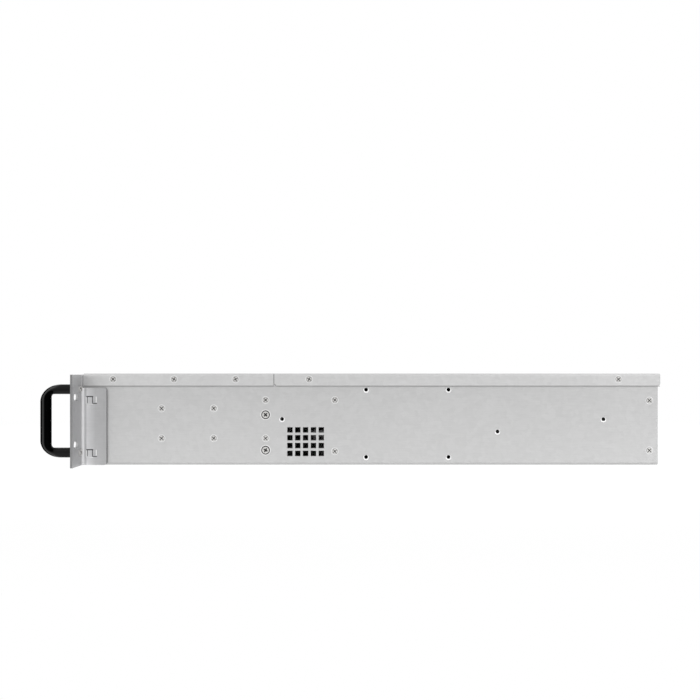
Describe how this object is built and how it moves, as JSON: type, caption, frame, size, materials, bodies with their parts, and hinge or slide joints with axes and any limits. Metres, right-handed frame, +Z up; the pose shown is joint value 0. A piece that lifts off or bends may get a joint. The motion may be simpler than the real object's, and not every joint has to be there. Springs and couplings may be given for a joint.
{
  "type": "barebone server",
  "caption": "Rack server case, two units high, with drive trays in front, screwed covers, a side cable duct, rack ears, a loop handle and a control block.",
  "frame": {"origin": "on the underside of the base, in the middle across the rack, in the plane of the back of the rack ears", "axes": "+Z up, +Y from the front to the rear, +X to the right as seen from the front"},
  "size_m": [0.4826, 0.589, 0.0875],
  "materials": {
    "galvanised_sheet": "satin galvanised sheet with a fine grain",
    "cover_sheet": "satin galvanised sheet",
    "ear_sheet": "satin plated sheet",
    "plate_sheet": "satin plated sheet",
    "duct_sheet": "satin galvanised sheet",
    "inner_sheet": "plain galvanised sheet",
    "block_plastic": "dark grey textured moulding",
    "handle_black": "black, glossy",
    "black_plastic": "black moulding",
    "button_plastic": "grey, half gloss",
    "tray_black": "black painted steel and plastic",
    "lever_plastic": "dark grey moulding",
    "circuit_board": "green laminate",
    "brass_standoffs": "turned brass",
    "socket_steel": "pressed steel",
    "sink_aluminium": "extruded aluminium",
    "port_steel": "plated steel",
    "rotor_plastic": "black moulding",
    "module_steel": "plain steel case",
    "latch_plastic": "green-blue moulding"
  },
  "bodies": {
    "chassis": {"chassis_tub": "galvanised_sheet", "front_cover": "cover_sheet", "rear_cover": "cover_sheet", "right_ear": "ear_sheet", "left_ear": "ear_sheet", "control_plate": "plate_sheet", "control_block": "block_plastic", "right_handle": "handle_black", "cable_duct": "duct_sheet", "ear_clip": "black_plastic", "drive_shelves": "inner_sheet", "bay_dividers": "inner_sheet", "backplane": "circuit_board", "backplane_bracket": "inner_sheet", "fan_wall": "inner_sheet", "fan_frames": "black_plastic", "motherboard": "circuit_board", "board_standoffs": "brass_standoffs", "processor_sockets": "socket_steel", "board_slots": "black_plastic", "heat_sink": "sink_aluminium", "rear_ports": "port_steel", "rear_panel": "inner_sheet", "io_shield": "port_steel", "slot_covers": "port_steel", "slot_bar": "inner_sheet", "psu_cage": "inner_sheet"},
    "power_button": {"power_button": "button_plastic"},
    "reset_button": {"reset_button": "button_plastic"},
    "tray_1": {"drive_tray_1": "tray_black"},
    "lever_1": {"tray_lever_1": "lever_plastic"},
    "tray_2": {"drive_tray_2": "tray_black"},
    "lever_2": {"tray_lever_2": "lever_plastic"},
    "tray_3": {"drive_tray_3": "tray_black"},
    "lever_3": {"tray_lever_3": "lever_plastic"},
    "tray_4": {"drive_tray_4": "tray_black"},
    "lever_4": {"tray_lever_4": "lever_plastic"},
    "tray_5": {"drive_tray_5": "tray_black"},
    "lever_5": {"tray_lever_5": "lever_plastic"},
    "tray_6": {"drive_tray_6": "tray_black"},
    "lever_6": {"tray_lever_6": "lever_plastic"},
    "tray_7": {"drive_tray_7": "tray_black"},
    "lever_7": {"tray_lever_7": "lever_plastic"},
    "tray_8": {"drive_tray_8": "tray_black"},
    "lever_8": {"tray_lever_8": "lever_plastic"},
    "tray_9": {"drive_tray_9": "tray_black"},
    "lever_9": {"tray_lever_9": "lever_plastic"},
    "tray_10": {"drive_tray_10": "tray_black"},
    "lever_10": {"tray_lever_10": "lever_plastic"},
    "tray_11": {"drive_tray_11": "tray_black"},
    "lever_11": {"tray_lever_11": "lever_plastic"},
    "tray_12": {"drive_tray_12": "tray_black"},
    "lever_12": {"tray_lever_12": "lever_plastic"},
    "rotor_1": {"fan_rotor_1": "rotor_plastic"},
    "rotor_2": {"fan_rotor_2": "rotor_plastic"},
    "rotor_3": {"fan_rotor_3": "rotor_plastic"},
    "psu_1": {"psu_module_1": "module_steel"},
    "psu_latch_1": {"psu_latch_1": "latch_plastic"},
    "psu_2": {"psu_module_2": "module_steel"},
    "psu_latch_2": {"psu_latch_2": "latch_plastic"}
  },
  "joints": [
    {"name": "power_button_press", "type": "slide", "parent": "chassis", "child": "power_button", "axis": [0, 1, 0], "range_m": [0, 0.001], "stiffness_N_per_m": 1500},
    {"name": "reset_button_press", "type": "slide", "parent": "chassis", "child": "reset_button", "axis": [0, 1, 0], "range_m": [0, 0.001], "stiffness_N_per_m": 1200},
    {"name": "tray_1_slide", "type": "slide", "parent": "chassis", "child": "tray_1", "axis": [0, -1, 0], "range_m": [0, 0.15]},
    {"name": "lever_1_swing", "type": "hinge", "parent": "tray_1", "child": "lever_1", "pos_m": [-0.2072, -0.0005, 0.0149], "axis": [0, 0, -1], "range_deg": [0, 60]},
    {"name": "tray_2_slide", "type": "slide", "parent": "chassis", "child": "tray_2", "axis": [0, -1, 0], "range_m": [0, 0.15]},
    {"name": "lever_2_swing", "type": "hinge", "parent": "tray_2", "child": "lever_2", "pos_m": [-0.10045, -0.0005, 0.0149], "axis": [0, 0, -1], "range_deg": [0, 60]},
    {"name": "tray_3_slide", "type": "slide", "parent": "chassis", "child": "tray_3", "axis": [0, -1, 0], "range_m": [0, 0.15]},
    {"name": "lever_3_swing", "type": "hinge", "parent": "tray_3", "child": "lever_3", "pos_m": [0.0063, -0.0005, 0.0149], "axis": [0, 0, -1], "range_deg": [0, 60]},
    {"name": "tray_4_slide", "type": "slide", "parent": "chassis", "child": "tray_4", "axis": [0, -1, 0], "range_m": [0, 0.15]},
    {"name": "lever_4_swing", "type": "hinge", "parent": "tray_4", "child": "lever_4", "pos_m": [0.11305, -0.0005, 0.0149], "axis": [0, 0, -1], "range_deg": [0, 60]},
    {"name": "tray_5_slide", "type": "slide", "parent": "chassis", "child": "tray_5", "axis": [0, -1, 0], "range_m": [0, 0.15]},
    {"name": "lever_5_swing", "type": "hinge", "parent": "tray_5", "child": "lever_5", "pos_m": [-0.2072, -0.0005, 0.0431], "axis": [0, 0, -1], "range_deg": [0, 60]},
    {"name": "tray_6_slide", "type": "slide", "parent": "chassis", "child": "tray_6", "axis": [0, -1, 0], "range_m": [0, 0.15]},
    {"name": "lever_6_swing", "type": "hinge", "parent": "tray_6", "child": "lever_6", "pos_m": [-0.10045, -0.0005, 0.0431], "axis": [0, 0, -1], "range_deg": [0, 60]},
    {"name": "tray_7_slide", "type": "slide", "parent": "chassis", "child": "tray_7", "axis": [0, -1, 0], "range_m": [0, 0.15]},
    {"name": "lever_7_swing", "type": "hinge", "parent": "tray_7", "child": "lever_7", "pos_m": [0.0063, -0.0005, 0.0431], "axis": [0, 0, -1], "range_deg": [0, 60]},
    {"name": "tray_8_slide", "type": "slide", "parent": "chassis", "child": "tray_8", "axis": [0, -1, 0], "range_m": [0, 0.15]},
    {"name": "lever_8_swing", "type": "hinge", "parent": "tray_8", "child": "lever_8", "pos_m": [0.11305, -0.0005, 0.0431], "axis": [0, 0, -1], "range_deg": [0, 60]},
    {"name": "tray_9_slide", "type": "slide", "parent": "chassis", "child": "tray_9", "axis": [0, -1, 0], "range_m": [0, 0.15]},
    {"name": "lever_9_swing", "type": "hinge", "parent": "tray_9", "child": "lever_9", "pos_m": [-0.2072, -0.0005, 0.0713], "axis": [0, 0, -1], "range_deg": [0, 60]},
    {"name": "tray_10_slide", "type": "slide", "parent": "chassis", "child": "tray_10", "axis": [0, -1, 0], "range_m": [0, 0.15]},
    {"name": "lever_10_swing", "type": "hinge", "parent": "tray_10", "child": "lever_10", "pos_m": [-0.10045, -0.0005, 0.0713], "axis": [0, 0, -1], "range_deg": [0, 60]},
    {"name": "tray_11_slide", "type": "slide", "parent": "chassis", "child": "tray_11", "axis": [0, -1, 0], "range_m": [0, 0.15]},
    {"name": "lever_11_swing", "type": "hinge", "parent": "tray_11", "child": "lever_11", "pos_m": [0.0063, -0.0005, 0.0713], "axis": [0, 0, -1], "range_deg": [0, 60]},
    {"name": "tray_12_slide", "type": "slide", "parent": "chassis", "child": "tray_12", "axis": [0, -1, 0], "range_m": [0, 0.15]},
    {"name": "lever_12_swing", "type": "hinge", "parent": "tray_12", "child": "lever_12", "pos_m": [0.11305, -0.0005, 0.0713], "axis": [0, 0, -1], "range_deg": [0, 60]},
    {"name": "rotor_1_spin", "type": "hinge", "parent": "chassis", "child": "rotor_1", "pos_m": [-0.12, 0.256, 0.04325], "axis": [0, 1, 0], "continuous": true},
    {"name": "rotor_2_spin", "type": "hinge", "parent": "chassis", "child": "rotor_2", "pos_m": [-0.024, 0.256, 0.04325], "axis": [0, 1, 0], "continuous": true},
    {"name": "rotor_3_spin", "type": "hinge", "parent": "chassis", "child": "rotor_3", "pos_m": [0.072, 0.256, 0.04325], "axis": [0, 1, 0], "continuous": true},
    {"name": "psu_1_slide", "type": "slide", "parent": "chassis", "child": "psu_1", "axis": [0, 1, 0], "range_m": [0, 0.16]},
    {"name": "psu_latch_1_press", "type": "slide", "parent": "psu_1", "child": "psu_latch_1", "axis": [-1, 0, 0], "range_m": [0, 0.003], "stiffness_N_per_m": 1500},
    {"name": "psu_2_slide", "type": "slide", "parent": "chassis", "child": "psu_2", "axis": [0, 1, 0], "range_m": [0, 0.16]},
    {"name": "psu_latch_2_press", "type": "slide", "parent": "psu_2", "child": "psu_latch_2", "axis": [-1, 0, 0], "range_m": [0, 0.003], "stiffness_N_per_m": 1500}
  ]
}
